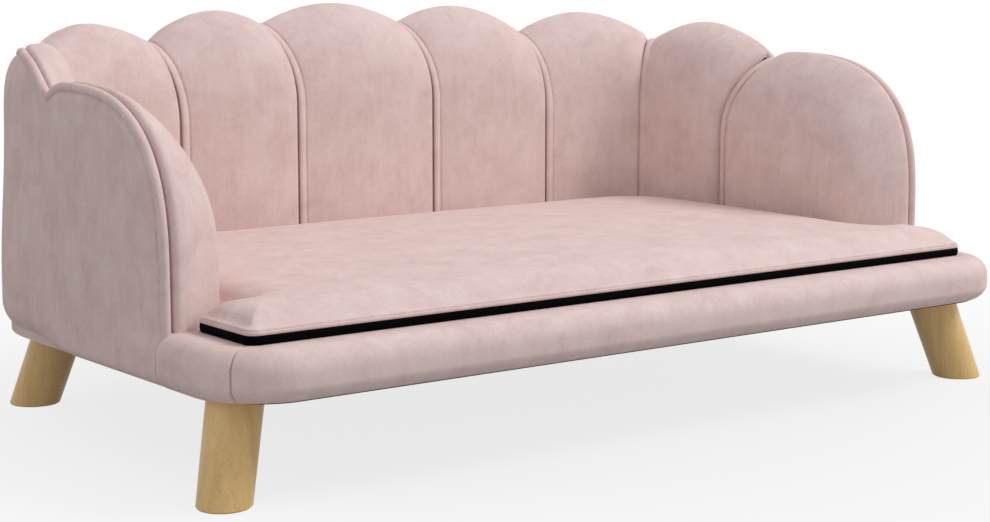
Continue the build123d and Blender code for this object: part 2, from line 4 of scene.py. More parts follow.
import bmesh
import bpy
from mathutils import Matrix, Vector


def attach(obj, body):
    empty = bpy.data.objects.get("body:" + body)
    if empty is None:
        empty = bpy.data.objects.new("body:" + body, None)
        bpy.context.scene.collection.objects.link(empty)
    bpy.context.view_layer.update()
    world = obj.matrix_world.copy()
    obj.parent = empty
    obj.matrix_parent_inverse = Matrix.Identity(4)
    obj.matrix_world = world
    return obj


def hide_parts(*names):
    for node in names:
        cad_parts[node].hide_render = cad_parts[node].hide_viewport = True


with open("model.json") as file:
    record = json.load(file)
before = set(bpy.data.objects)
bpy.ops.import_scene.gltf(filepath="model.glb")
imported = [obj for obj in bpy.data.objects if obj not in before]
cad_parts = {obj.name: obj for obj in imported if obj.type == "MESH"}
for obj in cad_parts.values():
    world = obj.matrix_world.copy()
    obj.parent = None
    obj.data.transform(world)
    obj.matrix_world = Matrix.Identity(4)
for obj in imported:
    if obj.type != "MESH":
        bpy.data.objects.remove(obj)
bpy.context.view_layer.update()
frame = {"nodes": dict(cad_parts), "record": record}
nodes = frame["nodes"]
print("frame loaded,", len(nodes), "nodes")

# Camera: place in metres, turn and dip in degrees, lens and sensor in millimetres.
shot = {"place": (-1.3236, -1.7745, 0.4701), "turn": -36.852, "dip": 8.466, "lens": 76.65, "sensor": 36}

facing = (radians(90 - shot["dip"]), 0, radians(shot["turn"]))
bpy.ops.object.camera_add(location=shot["place"], rotation=facing)
camera = bpy.context.object
camera.data.lens = shot["lens"]
camera.data.sensor_width = shot["sensor"]
bpy.context.scene.camera = camera


# Small tools.
making = {"merge": 0.00001, "skinAngle": 60, "cordAngle": 70, "cordSides": 4}


def linear(code):
    # an sRGB hex value as linear red, green, blue and alpha
    parts = [int(code[i:i + 2], 16) / 255 for i in (1, 3, 5)]
    return [c / 12.92 if c <= 0.04045 else ((c + 0.055) / 1.055) ** 2.4 for c in parts] + [1]


def perMetre(size):
    # the scale of a pattern whose patches are so many millimetres across
    return 1000 / size


def addNode(material, kind, settings=None, feeds=None):
    # settings are inputs or properties by name, and feeds are the sockets linked to its inputs
    made = material.node_tree.nodes.new(kind)
    for name, value in (settings or {}).items():
        if isinstance(name, int) or name in made.inputs:
            made.inputs[name].default_value = value
        else:
            setattr(made, name, value)
    for name, source in (feeds or {}).items():
        material.node_tree.links.new(source, made.inputs[name])
    return made


def newMaterial(name):
    material = bpy.data.materials.new(name)
    material.use_nodes = True
    return material, material.node_tree.nodes["Principled BSDF"]


def link(material, source, target):
    material.node_tree.links.new(source, target)


def dress(obj, material):
    obj.data.materials.clear()
    obj.data.materials.append(material)


def between(a, b, share):
    return a + (b - a) * share


def smoothly(share):
    share = min(max(share, 0), 1)
    return share * share * (3 - 2 * share)


def quarter(i, steps):
    # the angle after i of so many steps through a quarter turn
    return pi / 2 * i / steps


def bowl(radius, depth):
    # how far a round edge has fallen back at this depth into its radius
    return radius - sqrt(max(radius ** 2 - depth ** 2, 0))


def pick(*chosen):
    # selects only these, the last one active
    bpy.ops.object.select_all(action="DESELECT")
    for obj in chosen:
        obj.select_set(True)
    bpy.context.view_layer.objects.active = chosen[-1]


def skin(name, rings):
    # a closed skin through rings of points, each with as many points as the next
    shell = bmesh.new()
    rows = [[shell.verts.new(point) for point in ring] for ring in rings]
    count = len(rows[0])
    for low, high in zip(rows, rows[1:]):
        for i in range(count):
            shell.faces.new((low[i], low[(i + 1) % count], high[(i + 1) % count], high[i]))
    shell.faces.new(rows[0])
    shell.faces.new(rows[-1])
    bmesh.ops.remove_doubles(shell, verts=shell.verts, dist=making["merge"])
    bmesh.ops.recalc_face_normals(shell, faces=shell.faces)
    mesh = bpy.data.meshes.new(name)
    shell.to_mesh(mesh)
    shell.free()
    obj = bpy.data.objects.new(name, mesh)
    bpy.context.scene.collection.objects.link(obj)
    pick(obj)
    bpy.ops.object.shade_smooth_by_angle(angle=radians(making["skinAngle"]))
    return obj


def tube(name, points, radius):
    # a round cord along a line of points, closed at both ends
    line = bpy.data.curves.new(name, "CURVE")
    line.dimensions = "3D"
    run = line.splines.new("POLY")
    run.points.add(len(points) - 1)
    for spot, point in zip(run.points, points):
        spot.co = (*point, 1)
    line.bevel_depth = radius
    line.bevel_resolution = making["cordSides"]
    line.use_fill_caps = True
    obj = bpy.data.objects.new(name, line)
    bpy.context.scene.collection.objects.link(obj)
    pick(obj)
    bpy.ops.object.convert(target="MESH")
    obj = bpy.context.object
    bpy.ops.object.shade_smooth_by_angle(angle=radians(making["cordAngle"]))
    return obj


# Velvet: short-pile polyester, with a soft sheen and cloudy patches where the pile lies over.
# Pattern sizes are in millimetres. Single hairs are too fine to show, so the nap is drawn coarser than it is.
cloth = {"light": "#E9D4D0", "mid": "#E2CAC6", "dark": "#D8BEBA", "glow": "#F0CFC9", "sheen": 0.2,
         "sheenRoughness": 0.4, "roughness": 0.9, "gloss": 0.15, "cloud": 33.33, "nap": 1.613,
         "grain": 0.6667, "streak": (8.333, 8.333, 62.5), "napShare": 0.8, "streakShare": 0.45,
         "darkest": 0.85, "lightest": 1.4}

velvet, velvetShader = newMaterial("DustyPinkVelvet")
place = addNode(velvet, "ShaderNodeTexCoord")
cloud = addNode(velvet, "ShaderNodeTexNoise",
                {"Scale": perMetre(cloth["cloud"]), "Detail": 5, "Roughness": 0.62, "Distortion": 0.6},
                {"Vector": place.outputs["Object"]})
nap = addNode(velvet, "ShaderNodeTexNoise", {"Scale": perMetre(cloth["nap"]), "Detail": 4, "Roughness": 0.6},
              {"Vector": place.outputs["Object"]})
grain = addNode(velvet, "ShaderNodeTexNoise", {"Scale": perMetre(cloth["grain"]), "Detail": 2},
                {"Vector": place.outputs["Object"]})
brushed = addNode(velvet, "ShaderNodeMapping", {"Scale": [perMetre(size) for size in cloth["streak"]]},
                  {"Vector": place.outputs["Object"]})
streak = addNode(velvet, "ShaderNodeTexNoise", {"Scale": 1, "Detail": 5, "Roughness": 0.6},
                 {"Vector": brushed.outputs["Vector"]})
mixed = addNode(velvet, "ShaderNodeMath", {"operation": "MULTIPLY_ADD", 1: cloth["napShare"]},
                {0: nap.outputs["Fac"], 2: cloud.outputs["Fac"]})
mixed = addNode(velvet, "ShaderNodeMath", {"operation": "MULTIPLY_ADD", 1: cloth["streakShare"]},
                {0: streak.outputs["Fac"], 2: mixed.outputs[0]})
level = addNode(velvet, "ShaderNodeMapRange", {"From Min": cloth["darkest"], "From Max": cloth["lightest"]},
                {"Value": mixed.outputs[0]})
tone = addNode(velvet, "ShaderNodeValToRGB", None, {"Fac": level.outputs[0]})
tone.color_ramp.elements[0].color = linear(cloth["dark"])
tone.color_ramp.elements[1].color = linear(cloth["light"])
middle = tone.color_ramp.elements.new(0.5)
middle.color = linear(cloth["mid"])
link(velvet, tone.outputs["Color"], velvetShader.inputs["Base Color"])
velvetShader.inputs["Roughness"].default_value = cloth["roughness"]
velvetShader.inputs["Sheen Weight"].default_value = cloth["sheen"]
velvetShader.inputs["Sheen Roughness"].default_value = cloth["sheenRoughness"]
velvetShader.inputs["Sheen Tint"].default_value = linear(cloth["glow"])
velvetShader.inputs["Specular IOR Level"].default_value = cloth["gloss"]
bump = addNode(velvet, "ShaderNodeBump", {"Strength": 0.3, "Distance": 0.0006},
               {"Height": nap.outputs["Fac"]})
fine = addNode(velvet, "ShaderNodeBump", {"Strength": 0.25, "Distance": 0.0002},
               {"Height": grain.outputs["Fac"], "Normal": bump.outputs["Normal"]})
link(velvet, fine.outputs["Normal"], velvetShader.inputs["Normal"])


# Border: plain woven polyester tape, jet black with almost no gloss. Its threads are drawn coarser than real.
ribbon = {"dark": "#000000", "light": "#050506", "thread": 1.111, "roughness": 0.9, "gloss": 0.05}

tape, tapeShader = newMaterial("BlackBorderWeave")
place = addNode(tape, "ShaderNodeTexCoord")
weave = addNode(tape, "ShaderNodeTexNoise", {"Scale": perMetre(ribbon["thread"]), "Detail": 3},
                {"Vector": place.outputs["Object"]})
tone = addNode(tape, "ShaderNodeValToRGB", None, {"Fac": weave.outputs["Fac"]})
tone.color_ramp.elements[0].color = linear(ribbon["dark"])
tone.color_ramp.elements[1].color = linear(ribbon["light"])
link(tape, tone.outputs["Color"], tapeShader.inputs["Base Color"])
tapeShader.inputs["Roughness"].default_value = ribbon["roughness"]
tapeShader.inputs["Specular IOR Level"].default_value = ribbon["gloss"]
bump = addNode(tape, "ShaderNodeBump", {"Strength": 0.4, "Distance": 0.0005},
               {"Height": weave.outputs["Fac"]})
link(tape, bump.outputs["Normal"], tapeShader.inputs["Normal"])


# Legs: turned beech under clear satin varnish, pale honey with long faint grain and short dark flecks.
# Grain and flecks are in millimetres, across the leg twice and then up it.
wood = {"dark": "#D9B06E", "light": "#EDCA8C", "fleck": "#C8A777", "fleckShare": 0.35,
        "grain": (16.67, 16.67, 200), "flecks": (1.111, 1.111, 11.11), "roughness": 0.42, "ior": 1.5}

beech, beechShader = newMaterial("VarnishedBeech")
place = addNode(beech, "ShaderNodeTexCoord")
along = addNode(beech, "ShaderNodeMapping", {"Scale": [perMetre(size) for size in wood["grain"]]},
                {"Vector": place.outputs["Object"]})
grain = addNode(beech, "ShaderNodeTexNoise", {"Scale": 1, "Detail": 6, "Roughness": 0.6, "Distortion": 0.4},
                {"Vector": along.outputs["Vector"]})
across = addNode(beech, "ShaderNodeMapping", {"Scale": [perMetre(size) for size in wood["flecks"]]},
                 {"Vector": place.outputs["Object"]})
fleck = addNode(beech, "ShaderNodeTexNoise", {"Scale": 1, "Detail": 2}, {"Vector": across.outputs["Vector"]})
tone = addNode(beech, "ShaderNodeValToRGB", None, {"Fac": grain.outputs["Fac"]})
tone.color_ramp.elements[0].position = 0.3
tone.color_ramp.elements[0].color = linear(wood["dark"])
tone.color_ramp.elements[1].position = 0.7
tone.color_ramp.elements[1].color = linear(wood["light"])
speck = addNode(beech, "ShaderNodeValToRGB", None, {"Fac": fleck.outputs["Fac"]})
speck.color_ramp.elements[0].position = 0.3
speck.color_ramp.elements[0].color = linear(wood["fleck"])
speck.color_ramp.elements[1].position = 0.42
speck.color_ramp.elements[1].color = linear("#FFFFFF")
# in a colour Mix, socket 0 is the factor, 6 and 7 are the colours, and output 2 is the result
stained = addNode(beech, "ShaderNodeMix",
                  {"data_type": "RGBA", "blend_type": "MULTIPLY", 0: wood["fleckShare"]},
                  {6: tone.outputs["Color"], 7: speck.outputs["Color"]})
link(beech, stained.outputs[2], beechShader.inputs["Base Color"])
beechShader.inputs["Roughness"].default_value = wood["roughness"]
beechShader.inputs["IOR"].default_value = wood["ior"]
bump = addNode(beech, "ShaderNodeBump", {"Strength": 0.12, "Distance": 0.0003},
               {"Height": grain.outputs["Fac"]})
link(beech, bump.outputs["Normal"], beechShader.inputs["Normal"])


def plain(name, dark, light, size, roughness, metallic=0, strength=0.2):
    # an even finish for a hidden piece, with patches so many millimetres across
    material, shader = newMaterial(name)
    spot = addNode(material, "ShaderNodeTexCoord")
    patches = addNode(material, "ShaderNodeTexNoise", {"Scale": perMetre(size), "Detail": 4},
                      {"Vector": spot.outputs["Object"]})
    ramp = addNode(material, "ShaderNodeValToRGB", None, {"Fac": patches.outputs["Fac"]})
    ramp.color_ramp.elements[0].color = linear(dark)
    ramp.color_ramp.elements[1].color = linear(light)
    link(material, ramp.outputs["Color"], shader.inputs["Base Color"])
    shader.inputs["Roughness"].default_value = roughness
    shader.inputs["Metallic"].default_value = metallic
    rough = addNode(material, "ShaderNodeBump", {"Strength": strength, "Distance": 0.0005},
                    {"Height": patches.outputs["Fac"]})
    link(material, rough.outputs["Normal"], shader.inputs["Normal"])
    return material


lining = plain("BlackNonwoven", "#0A0A0B", "#1C1C1E", 1.429, 0.95)          # spun polypropylene, matt
timber = plain("SawnPine", "#C2A06B", "#D8BA88", 16.67, 0.8)                # rough-sawn, dull yellow
board = plain("RawFibreboard", "#A5845C", "#BD9C73", 3.333, 0.85)           # pressed, evenly brown
foam = plain("OpenCellFoam", "#D9D2BC", "#EDE8D6", 1.111, 0.95)             # cut polyurethane, fine pores
steel = plain("ZincPlatedSteel", "#9A9C9E", "#B5B7B8", 5, 0.35, 1, 0.05)    # plated, bright grey
enamel = plain("BlackEnamel", "#0C0C0D", "#161617", 3.333, 0.35, 0, 0.05)   # baked on, smooth and shiny

finishes = {"foam": foam, "board": board, "timber": timber, "leg_wood": beech, "steel": steel,
            "lining": lining, "zip_cloth": tape, "zip_metal": enamel, "velvet": velvet, "band_cloth": tape}
for part in frame["record"]["subparts"]:
    dress(nodes[part["node"]], finishes[part["material_slot"]])
print("materials done")


# The wall in plan, with the sizes of the solids. A run is the length along its outer face from the middle of
# the back, negative to the left, and an inset is the depth in from that face.
wall = {"half": 0.477, "back": 0.303, "corner": 0.168, "valley": 0.069, "foot": 0.125, "bottom": 0.0888,
        "frontFrom": 0.02, "frontOver": 0.09}
wall["straight"] = wall["half"] - wall["corner"]
wall["cornerY"] = wall["back"] - wall["corner"]
wall["armStart"] = wall["straight"] + wall["corner"] * pi / 2

# How far in the lobes' outer lip lies: the top is drawn in round the corners, most at the left one.
lip = {"arm": 0.0095, "back": 0.0145, "corners": (0.0315, 0.016), "backFrom": 0.2, "backOver": 0.22,
       "armFrom": 0.533, "armOver": 0.11}

# The back lobes. A pair is for a lobe's left end and its right end.
lobe = {"crown": 0.0085, "cornerCrown": 1.35, "fullness": (0.85, 0.5), "roll": 0.085, "soft": 0.6,
        "crest": 0.004, "lip": 0.003, "lipRound": 0.005, "narrow": 0.062, "narrowOver": 0.02,
        "rounds": (0.0015, 0.0065), "slits": (0.0034, 0.0084), "faceRows": 14, "rollRows": 20, "lipRows": 6,
        "backRows": 8, "footRows": 4, "stations": 30}

# The arms, as seen from the side, and how the rows of points are shared out over them.
arm = {"front": -0.163, "peakY": 0.018, "peak": 0.343, "spring": 0.182, "power": 2.8, "tuck": 0.04,
       "swell": 0.003, "valleyRuns": (0.078, 0.054), "valleyHigh": 0.334, "valleyBack": 0.014, "slit": 0.0054,
       "crest": 0.007, "crestOver": 0.05, "dip": 2.4, "dipOver": 0.0016, "forward": 0.006, "valleyRows": 10,
       "topRows": 10, "frontRows": 26, "edgeRows": 30, "underRows": 6, "footRows": 5, "least": 0.0005,
       "acrossRows": 24, "rollFrom": 17, "rollRows": 20}

# The piping along the wall's outer edge.
pipe = {"radius": 0.0045, "gap": 0.0012, "down": 0.0035, "dip": 0.006, "dipOver": 0.014, "ends": 0.018}

# The sewn valleys between the lobes, each with its outer run, inner run and height. They sit unevenly.
cornerValley = wall["straight"] + wall["corner"] * radians(49.5)
armValley = (*(wall["armStart"] + run for run in arm["valleyRuns"]), arm["valleyHigh"])
valleys = [(-armValley[0], -armValley[1], armValley[2]), (0.006 - cornerValley, -cornerValley, 0.35),
           (-0.253, -0.232, 0.3645), (-0.1095, -0.0855, 0.3805), (0.0745, 0.0985, 0.379),
           (0.252, 0.266, 0.362), (cornerValley + 0.005, cornerValley + 0.001, 0.352), armValley]
# The back lobes' heights at their middle. Back lobe 1 is lobe2, between the first two valleys.
peaks = [0, 0.3712, 0.386, 0.3965, 0.403, 0.3965, 0.386, 0.3745]
backLobes = range(1, len(valleys))


def wallPoint(run, inset, height=0.0):
    side = 1 if run >= 0 else -1
    run = abs(run)
    if run < wall["straight"]:
        x, y = run, wall["back"] - inset
    elif run < wall["armStart"]:
        turn = (run - wall["straight"]) / wall["corner"]
        x = wall["straight"] + (wall["corner"] - inset) * sin(turn)
        y = wall["cornerY"] + (wall["corner"] - inset) * cos(turn)
    else:
        x, y = wall["half"] - inset, wall["cornerY"] - (run - wall["armStart"])
    return Vector((side * x, y, height))


def softness(run):
    # 1 round the back and corners, where the top is loosely filled, and 0 on the fronts of the arms
    return 1 - smoothly((abs(run) - wall["armStart"] - wall["frontFrom"]) / wall["frontOver"])


def lipInset(run):
    drawn = lip["corners"][0 if run < 0 else 1]
    run = abs(run)
    if run > lip["armFrom"]:
        return max(between(drawn, lip["arm"], (run - lip["armFrom"]) / lip["armOver"]), lip["arm"])
    return between(lip["back"], drawn, smoothly((run - lip["backFrom"]) / lip["backOver"]))


def crossing(outer, inner):
    # a line across the wall: its start at the lip, its direction and its length
    start = wallPoint(outer, lipInset(outer))
    across = wallPoint(inner, wall["valley"]) - start
    reach = across.length
    across.normalize()
    return start, across, reach


def lobeEdge(number, share):
    # a back lobe from its left valley: outer run, inner run, edge height and swell
    a, b = valleys[number - 1], valleys[number]
    swell = 4 * share * (1 - share)
    height = between(a[2], b[2], share) + (peaks[number] - (a[2] + b[2]) / 2) * swell
    return between(a[0], b[0], share), between(a[1], b[1], share), height, swell


def wallProfile(reach, edge):
    # up the inside, over the roll and round the outer lip, as (across, height, crown share)
    shoulder = edge - lobe["roll"]
    wide, high = reach - lobe["lip"], lobe["crest"] + lobe["roll"]
    radius = (wide ** 2 + high ** 2) / (2 * wide)
    last = acos((radius - wide) / radius)
    full = min(max((lobe["narrow"] - reach) / lobe["narrowOver"], 0), 1)    # a narrow top rolls over fully
    line = [(reach, between(wall["foot"], shoulder, i / lobe["faceRows"]), 1)
            for i in range(lobe["faceRows"])]
    for i in range(lobe["rollRows"]):
        share = i / lobe["rollRows"]
        turn = quarter(i, lobe["rollRows"])
        flatter = (reach - radius + radius * cos(last * share), shoulder + radius * sin(last * share))
        rounder = (reach - wide * (1 - cos(turn) ** lobe["soft"]), shoulder + high * sin(turn))
        a, z = (between(first, second, full) for first, second in zip(flatter, rounder))
        line.append((a, z, 1 - share ** 2))
    for i in range(lobe["lipRows"] + 1):
        turn = quarter(i, lobe["lipRows"])
        line.append((lobe["lip"] - lobe["lipRound"] * sin(turn),
                     edge - lobe["lip"] + (lobe["crest"] + lobe["lip"]) * cos(turn), 0))
    return line


def moved(line, crown, drop):
    # the profile moved out along its normals by its share of the crown, and in by the drop
    out = []
    for i, (a, z, share) in enumerate(line):
        before, after = line[max(i - 1, 0)], line[min(i + 1, len(line) - 1)]
        da, dz = after[0] - before[0], after[1] - before[1]
        long = hypot(da, dz)
        step = crown * share - drop
        out.append((a + dz / long * step, z - da / long * step))
    return out


def lobeRing(number, share, away):
    # a section through a back lobe; away is the distance along the wall from its nearer end
    outer, inner, edge, swell = lobeEdge(number, share)
    start, across, reach = crossing(outer, inner)
    end = 0 if share < 0.5 else 1
    rounding = lobe["rounds"][end]
    crown = lobe["crown"] * (lobe["cornerCrown"] if number in (backLobes[0], backLobes[-1]) else 1)
    drop = bowl(rounding, max(rounding - away, 0))
    line = moved(wallProfile(reach, edge), crown * swell ** lobe["fullness"][end], drop)
    a, z = line[-1]
    line += [(a, between(z, wall["foot"], i / lobe["backRows"])) for i in range(1, lobe["backRows"] + 1)]
    line += [(between(a, reach, i / lobe["footRows"]), wall["foot"]) for i in range(1, lobe["footRows"])]
    return [start + across * a + Vector((0, 0, z)) for a, z in line]


def lobeShares(number):
    # stations with their distances from the nearer end, close together where the cloth turns into the seam
    span = abs(valleys[number][1] - valleys[number - 1][1])
    first, last = lobe["slits"]
    length = span - first - last
    near = (0, 0.0002, 0.0006, 0.0012, 0.002, 0.003, 0.004, 0.0055, 0.008)
    middle = [between(near[-1], length - near[-1], i / lobe["stations"]) for i in range(1, lobe["stations"])]
    places = [*near, *middle, *[length - away for away in reversed(near)]]
    return [((place + first) / span, min(place, length - place)) for place in places]


def sunk(share, reach):
    # how far the rolled top has dropped at a share of the way across, as a share of the roll
    radius = (reach ** 2 + lobe["roll"] ** 2) / (2 * reach)
    off = min(share, 1) * reach + radius - reach
    return 1 - sqrt(max(radius ** 2 - off ** 2, 0)) / lobe["roll"]


def armOutline(across, gap, steps):
    # side view of an arm's lobe at one place across the wall, from the valley round to the foot
    outer = 2 * pipe["radius"] + pipe["gap"]
    full = wall["valley"] + lobe["crown"] - outer
    inset = outer + full * across
    place = full * across / (wall["valley"] - outer)
    valleyShare = (wall["valley"] - outer) / full
    valleyY = wall["cornerY"] - between(*arm["valleyRuns"], place) - gap
    valleyY -= arm["valleyBack"] * max(across - valleyShare, 0) / (1 - valleyShare)
    crest = 0                                           # beside the seam the lobe dips and then stands up
    if gap:
        crest = 1 - arm["dip"] * exp(-full * across / arm["dipOver"])
        crest *= 1 - smoothly(full * across / arm["crestOver"])
    start = wallPoint(armValley[0], outer)
    valleyReach = (wallPoint(armValley[1], wall["valley"]) - start).length
    valleyZ = armValley[2] - lobe["roll"] * sunk(place, valleyReach) + arm["crest"] / 2 * crest
    top = arm["peak"] - lobe["roll"] * sunk(across, full) + arm["crest"] * crest
    tuck = arm["tuck"] * sunk(across, full) - arm["forward"] * crest
    rise, reach = top - arm["spring"], arm["peakY"] - arm["front"] - tuck
    line = [(valleyY, between(wall["foot"], valleyZ, i / arm["valleyRows"]))
            for i in range(arm["valleyRows"])]
    high = max(top - valleyZ, arm["least"])
    radius = ((valleyY - arm["peakY"]) ** 2 + high ** 2) / (2 * high)
    for i in range(arm["topRows"]):
        y = between(valleyY, arm["peakY"], i / arm["topRows"])
        line.append((y, top - bowl(radius, y - arm["peakY"])))
    for i in range(steps + 1):
        turn = quarter(i, steps)
        line.append((arm["peakY"] - reach * sin(turn) ** (2 / arm["power"]),
                     arm["spring"] + rise * max(cos(turn), 0) ** (2 / arm["power"])))
    foot = line[-1][0]
    line += [(foot, between(arm["spring"], wall["foot"], i / arm["underRows"]))
             for i in range(1, arm["underRows"] + 1)]
    line += [(between(foot, valleyY, i / arm["footRows"]), wall["foot"]) for i in range(1, arm["footRows"])]
    return inset, line


def armRings(side):
    # rows from the outside in, close together at the seam and again where the top rolls over
    shares = [0, 0.005, 0.011, 0.018, 0.026]
    shares += [i / arm["acrossRows"] for i in range(1, arm["rollFrom"])]
    rollFrom = arm["rollFrom"] / arm["acrossRows"]
    shares += [between(rollFrom, 1, i / arm["rollRows"]) for i in range(arm["rollRows"] + 1)]
    rings = []
    for share in shares:
        inset, line = armOutline(share, arm["slit"], arm["frontRows"])
        rings.append([Vector((side * (wall["half"] - inset), y, z)) for y, z in line])
    last = rings[-1]
    middle = sum(last, Vector()) / len(last)
    for share in (0.97, 0.9, 0.75, 0.55, 0.35, 0.15):                 # the inner face swells a little
        shift = Vector((-side * arm["swell"] * (1 - share ** 2), 0, 0))
        rings.append([middle + (p - middle) * share + shift for p in last])
    return rings


# The nine padded lobes: the first and last are the arms.
lobeCount = len(backLobes) + 2
pieces = {}
for number in backLobes:
    rings = [lobeRing(number, share, away) for share, away in lobeShares(number)]
    pieces[f"lobe{number + 1}"] = skin(f"lobe{number + 1}", rings)
for side, label in ((-1, 1), (1, lobeCount)):
    pieces[f"lobe{label}"] = skin(f"lobe{label}", armRings(side))
for label in range(1, lobeCount + 1):
    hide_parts(f"channel_{label}")
print("lobes done")


# The wall's outer edge, as runs and heights from the left arm's foot to the right arm's foot.
lobeSteps = 24
_, line = armOutline(0, 0, arm["edgeRows"])
upright = line[arm["valleyRows"]:1 - arm["footRows"]]
armEdge = [(wall["armStart"] + wall["cornerY"] - y, z) for y, z in upright]
edge = [(-run, height) for run, height in reversed(armEdge)]
for number in backLobes:
    for i in range(1, lobeSteps + 1):
        outer, _, height, _ = lobeEdge(number, i / lobeSteps)
        edge.append((outer, height))
edge += armEdge[1:]


def pipeInset(run):
    return between(pipe["radius"], lipInset(run) - pipe["radius"] - pipe["gap"], softness(run))


def pipeDrop(run):
    # the piping lies just under the lobes' lip, deepest where two lobes meet
    dip = sum(exp(-((run - valley[0]) / pipe["dipOver"]) ** 2) for valley in valleys)
    return (pipe["down"] + pipe["dip"] * dip) * softness(run)


points = [wallPoint(run, pipeInset(run), z - pipeDrop(run)) for run, z in edge]
below = Vector((0, 0, pipe["ends"]))
points = [points[0] - below, *points, points[-1] - below]
pieces["outerPiping"] = tube("outerPiping", points, pipe["radius"])
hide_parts("outer_piping")


# Eight flat welts in the valleys, each with its cord sunk under it between the lobes.
welt = {"half": 0.0058, "rise": 0.003, "sunk": 0.0012, "sides": 16, "cord": 0.009, "cordSunk": 0.0135}

for number, (outer, inner, height) in enumerate(valleys):
    label = f"welt{number + 1}"
    start, across, reach = crossing(outer, inner)
    profile = wallProfile(reach, height)
    sideways = Vector((-across.y, across.x, 0))
    middle, top = moved(profile, 0, welt["sunk"]), moved(profile, 0, welt["sunk"] - welt["rise"])
    rings = []
    for (a, z), (b, y) in zip(middle, top):
        centre = start + across * a + Vector((0, 0, z))
        up = across * (b - a) + Vector((0, 0, y - z))
        turns = [2 * pi * i / welt["sides"] for i in range(welt["sides"])]
        rings.append([centre + sideways * welt["half"] * cos(turn) + up * sin(turn) for turn in turns])
    pieces[label] = skin(label, rings)
    sunken = moved(profile, 0, welt["cordSunk"])[:-(lobe["lipRows"] + 1)]       # it ends short of the lip
    cord = tube("cord", [start + across * a + Vector((0, 0, z)) for a, z in sunken], welt["cord"])
    pick(cord, pieces[label])
    bpy.ops.object.join()
    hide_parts(f"welt_{number + 1}")


# The base's rounded front; the outer panel meets it at the arms' feet.
nose = {"half": 0.484, "front": -0.303, "back": -0.163, "low": 0.0888, "high": 0.1385, "corner": 0.07,
        "top": 0.02, "under": 0.018, "stand": 0.0014, "seamTurn": 34, "seamWidth": 0.6, "groove": 0.003,
        "lift": 0.004, "liftBelow": 0.025, "liftOver": 0.02, "liftFrom": -0.21, "liftAlong": 0.08,
        "sideRows": 4, "cornerRows": 20, "frontRows": 40, "rearRows": 20, "underRows": 8, "topRows": 10}

# The cover of the wall's outside, a thin shell below the piping.
panel = {"shell": 0.004, "settle": 0.007, "settleFrom": 0.14, "settleOver": 0.16, "leanOver": 0.015,
         "clear": 0.001, "bulgeOver": 0.04, "seam": 0.0032, "seamWide": 0.0046, "seamOver": 0.0028,
         "seamFrom": 0.132, "seamRise": 0.012, "plainBelow": 0.13, "underArm": 0.008, "underCorner": 0.03,
         "lowRows": 14, "highRows": 22, "split": 0.1428}


def noseInset(z):
    # how far the base's rounded section lies inside its fullest line
    if z > nose["high"] - nose["top"]:
        return bowl(nose["top"], z - nose["high"] + nose["top"])
    if z < nose["low"] + nose["under"]:
        return bowl(nose["under"], nose["low"] + nose["under"] - z)
    return 0


def panelInset(run, z, distance):
    # distance is that from the piping: the cloth dips into the seam and settles inwards above the base
    soft = softness(run)
    settled = panel["settle"] * smoothly((z - panel["settleFrom"]) / panel["settleOver"]) * soft
    lean = pipeInset(run) + panel["clear"] - panel["settle"]
    lean *= exp(-distance / panel["leanOver"]) * soft
    fromFront = max(wall["armStart"] + wall["cornerY"] - arm["front"] - abs(run), 0)
    bulge = max(nose["half"] - wall["half"] - noseInset(z), 0) * exp(-fromFront / panel["bulgeOver"])
    seam = panel["seam"] * (1 - smoothly((distance - panel["seamWide"]) / panel["seamOver"]))
    seam *= smoothly((z - panel["seamFrom"]) / panel["seamRise"])
    return settled + lean - bulge + seam


outside, inside = [], []
for run, top in edge:
    upper = max(top - panel["clear"], panel["split"]) - pipeDrop(run)
    under = between(panel["underArm"], panel["underCorner"], softness(run))
    heights = [between(wall["bottom"], panel["split"], i / panel["lowRows"])
               for i in range(panel["lowRows"])]
    heights += [between(panel["split"], upper, sin(quarter(i, panel["highRows"])))
                for i in range(panel["highRows"] + 1)]
    column = []
    for z in heights:
        distance = min(hypot(run - r, z - h) for r, h in edge) if z > panel["plainBelow"] else 1
        tuckIn = bowl(under, max(under - (z - wall["bottom"]), 0))
        column.append((panelInset(run, z, distance) + tuckIn, z))
    outside.append([wallPoint(run, inset, z) for inset, z in column])
    inside.append([wallPoint(run, inset + panel["shell"], z) for inset, z in column])
rings = [a + list(reversed(b)) for a, b in zip(outside, inside)]
pieces["outerPanel"] = skin("outerPanel", rings)
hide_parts("outer_cover", "back_board", "corner_board_left", "corner_board_right",
            "arm_board_left", "arm_board_right")
print("wall done")


